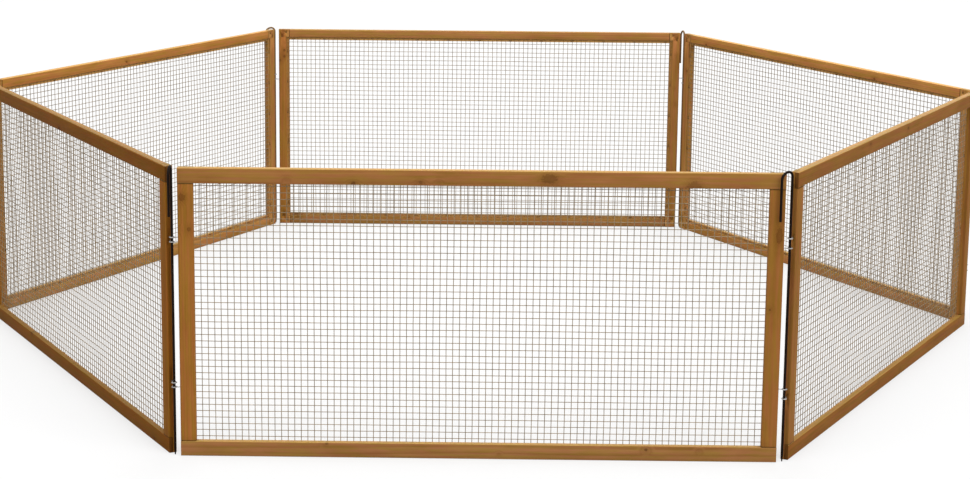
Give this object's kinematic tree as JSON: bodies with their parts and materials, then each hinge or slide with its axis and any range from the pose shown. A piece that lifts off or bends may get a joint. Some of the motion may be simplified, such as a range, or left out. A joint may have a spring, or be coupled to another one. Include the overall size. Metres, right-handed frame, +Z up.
{
  "type": "outdoor rabbit run",
  "caption": "Folding outdoor pen for rabbits: timber-framed panels of welded mesh, joined at the corners by hooked steel rods dropped through screw eyes.",
  "frame": {"origin": "middle of the run on the ground, between the panels", "axes": "+Z up; the front panel's outer face looks along -Y; +X to the right as the run is seen from the front"},
  "size_m": [2.405, 2.0895, 0.574],
  "materials": {
    "stained_wood": "sawn softwood with a thin, streaky orange-brown stain",
    "galvanised_mesh": "galvanised welded wire, dull grey",
    "galvanised_fixings": "zinc plated, slightly dull",
    "dark_steel": "dark, nearly black round steel, satin"
  },
  "bodies": {
    "front_panel": {"front_top_rail": "stained_wood", "front_bottom_rail": "stained_wood", "front_left_stile": "stained_wood", "front_right_stile": "stained_wood", "front_mesh": "galvanised_mesh", "front_staples": "galvanised_fixings", "front_corner_nails": "galvanised_fixings", "front_eyes": "galvanised_fixings"},
    "right_front_panel": {"right_front_top_rail": "stained_wood", "right_front_bottom_rail": "stained_wood", "right_front_left_stile": "stained_wood", "right_front_right_stile": "stained_wood", "right_front_mesh": "galvanised_mesh", "right_front_staples": "galvanised_fixings", "right_front_corner_nails": "galvanised_fixings", "right_front_eyes": "galvanised_fixings"},
    "right_back_panel": {"right_back_top_rail": "stained_wood", "right_back_bottom_rail": "stained_wood", "right_back_left_stile": "stained_wood", "right_back_right_stile": "stained_wood", "right_back_mesh": "galvanised_mesh", "right_back_staples": "galvanised_fixings", "right_back_corner_nails": "galvanised_fixings", "right_back_eyes": "galvanised_fixings"},
    "back_panel": {"back_top_rail": "stained_wood", "back_bottom_rail": "stained_wood", "back_left_stile": "stained_wood", "back_right_stile": "stained_wood", "back_mesh": "galvanised_mesh", "back_staples": "galvanised_fixings", "back_corner_nails": "galvanised_fixings", "back_eyes": "galvanised_fixings"},
    "left_back_panel": {"left_back_top_rail": "stained_wood", "left_back_bottom_rail": "stained_wood", "left_back_left_stile": "stained_wood", "left_back_right_stile": "stained_wood", "left_back_mesh": "galvanised_mesh", "left_back_staples": "galvanised_fixings", "left_back_corner_nails": "galvanised_fixings", "left_back_eyes": "galvanised_fixings"},
    "left_front_panel": {"left_front_top_rail": "stained_wood", "left_front_bottom_rail": "stained_wood", "left_front_left_stile": "stained_wood", "left_front_right_stile": "stained_wood", "left_front_mesh": "galvanised_mesh", "left_front_staples": "galvanised_fixings", "left_front_corner_nails": "galvanised_fixings", "left_front_eyes": "galvanised_fixings"},
    "front_right_rod": {"front_right_rod": "dark_steel"},
    "right_rod": {"right_rod": "dark_steel"},
    "back_right_rod": {"back_right_rod": "dark_steel"},
    "back_left_rod": {"back_left_rod": "dark_steel"},
    "left_rod": {"left_rod": "dark_steel"},
    "front_left_rod": {"front_left_rod": "dark_steel"}
  },
  "joints": [
    {"name": "front_left_corner", "type": "hinge", "parent": "front_panel", "child": "left_front_panel", "pos_m": [-0.587, -1.01671, 0], "axis": [0, 0, 1], "range_deg": [-30, 24]},
    {"name": "left_corner", "type": "hinge", "parent": "left_front_panel", "child": "left_back_panel", "pos_m": [-1.174, 0, 0], "axis": [0, 0, 1], "range_deg": [-48, 60]},
    {"name": "back_left_corner", "type": "hinge", "parent": "left_back_panel", "child": "back_panel", "pos_m": [-0.587, 1.01671, 0], "axis": [0, 0, 1], "range_deg": [-30, 24]},
    {"name": "front_right_corner", "type": "hinge", "parent": "front_panel", "child": "right_front_panel", "pos_m": [0.587, -1.01671, 0], "axis": [0, 0, 1], "range_deg": [-24, 30]},
    {"name": "right_corner", "type": "hinge", "parent": "right_front_panel", "child": "right_back_panel", "pos_m": [1.174, 0, 0], "axis": [0, 0, 1], "range_deg": [-60, 48]},
    {"name": "front_right_rod_lift", "type": "slide", "parent": "front_panel", "child": "front_right_rod", "axis": [0, 0, 1], "range_m": [0, 0.45]},
    {"name": "right_rod_lift", "type": "slide", "parent": "right_front_panel", "child": "right_rod", "axis": [0, 0, 1], "range_m": [-0.11, 0.45]},
    {"name": "back_right_rod_lift", "type": "slide", "parent": "right_back_panel", "child": "back_right_rod", "axis": [0, 0, 1], "range_m": [-0.11, 0.45]},
    {"name": "back_left_rod_lift", "type": "slide", "parent": "left_back_panel", "child": "back_left_rod", "axis": [0, 0, 1], "range_m": [-0.11, 0.45]},
    {"name": "left_rod_lift", "type": "slide", "parent": "left_front_panel", "child": "left_rod", "axis": [0, 0, 1], "range_m": [-0.11, 0.45]},
    {"name": "front_left_rod_lift", "type": "slide", "parent": "front_panel", "child": "front_left_rod", "axis": [0, 0, 1], "range_m": [-0.11, 0.45]}
  ],
  "couplings": [
    {"joint": "left_corner", "follows": "front_left_corner", "ratio": -2},
    {"joint": "back_left_corner", "follows": "front_left_corner", "ratio": 1},
    {"joint": "front_right_corner", "follows": "front_left_corner", "ratio": -1},
    {"joint": "right_corner", "follows": "front_left_corner", "ratio": 2}
  ]
}
